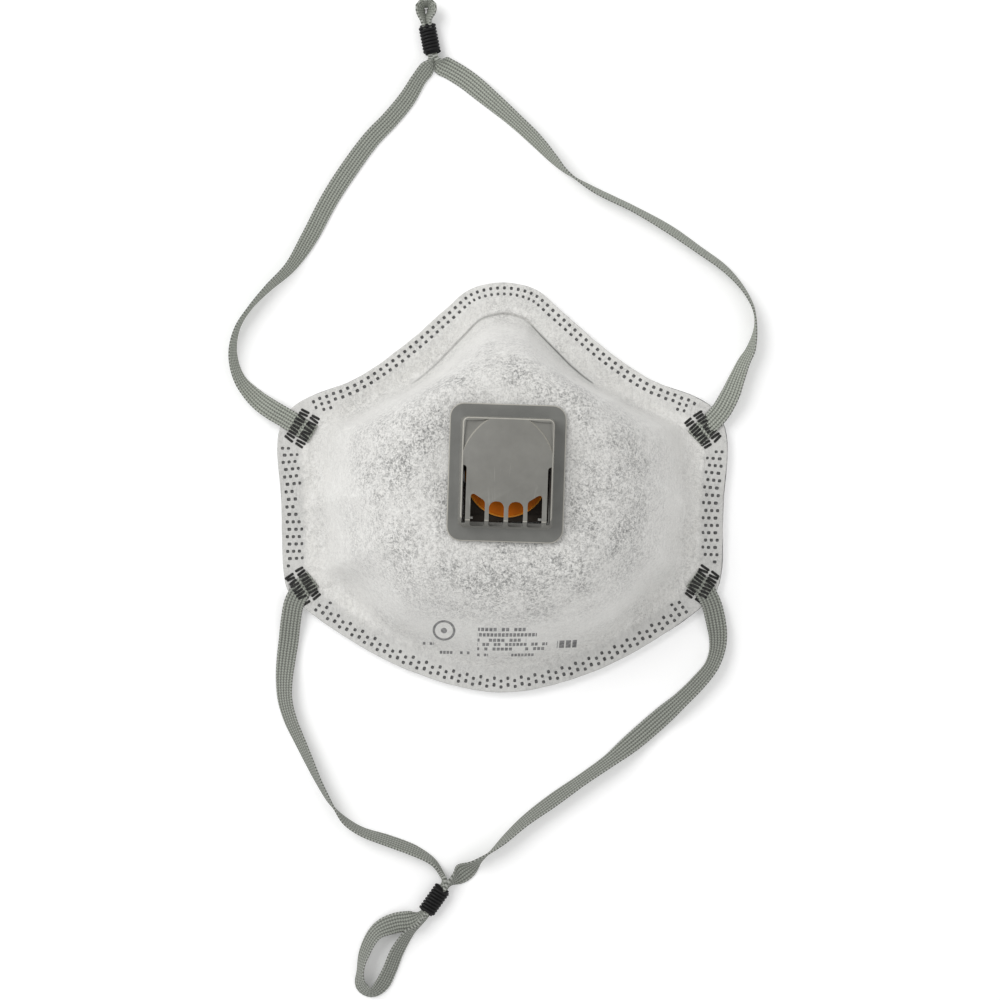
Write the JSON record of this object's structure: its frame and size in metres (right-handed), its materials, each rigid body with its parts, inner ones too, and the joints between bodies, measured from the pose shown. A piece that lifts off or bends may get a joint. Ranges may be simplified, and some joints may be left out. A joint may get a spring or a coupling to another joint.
{
  "type": "disposable dust mask",
  "caption": "Moulded cup dust mask with an exhalation valve, and flat elastic head straps with ribbed adjusters, lying on its rim.",
  "frame": {"origin": "on the surface that the rim lies on, under the middle of the cup's box", "axes": "+X across the face towards the wearer's left, +Y towards the nose, +Z out of the cup through the valve"},
  "size_m": [0.1575, 0.2956, 0.0534],
  "materials": {
    "outer_cover": "white felt, grey where the carbon shows through",
    "carbon_layer": "black activated-carbon felt",
    "filter_layer": "fine melt-blown web",
    "support_shell": "stiff moulded felt",
    "inner_lining": "soft white felt",
    "nose_clip": "bare strip",
    "nose_foam": "open-cell foam",
    "valve_cover": "satin grey, slightly translucent",
    "valve_seat": "satin dark grey",
    "valve_diaphragm": "orange silicone",
    "valve_inner_ring": "satin grey",
    "upper_strap": "sage grey braided elastic",
    "lower_strap": "sage grey braided elastic",
    "upper_adjuster": "black",
    "lower_adjuster": "black"
  },
  "bodies": {
    "mask": {"outer_cover": "outer_cover", "carbon_layer": "carbon_layer", "filter_layer": "filter_layer", "support_shell": "support_shell", "inner_lining": "inner_lining", "nose_clip": "nose_clip", "nose_foam": "nose_foam", "valve_cover": "valve_cover", "valve_seat": "valve_seat", "valve_inner_ring": "valve_inner_ring", "upper_strap": "upper_strap", "lower_strap": "lower_strap"},
    "valve_flap": {"valve_diaphragm": "valve_diaphragm"},
    "upper_sleeve": {"upper_adjuster": "upper_adjuster"},
    "lower_sleeve": {"lower_adjuster": "lower_adjuster"}
  },
  "joints": [
    {"name": "exhalation_flap", "type": "hinge", "parent": "mask", "child": "valve_flap", "pos_m": [0, 0.0147, 0.0468], "axis": [-1, 0, 0], "range_deg": [0, 10], "stiffness_Nm_per_rad": 0.0005},
    {"name": "upper_strap_pull", "type": "slide", "parent": "mask", "child": "upper_sleeve", "axis": [-0.1918, 0.9814, 0], "range_m": [0, 0.06], "stiffness_N_per_m": 25, "deforming": ["upper_strap"]},
    {"name": "lower_strap_pull", "type": "slide", "parent": "mask", "child": "lower_sleeve", "axis": [-0.5802, -0.8145, 0], "range_m": [0, 0.06], "stiffness_N_per_m": 25, "deforming": ["lower_strap"]}
  ]
}
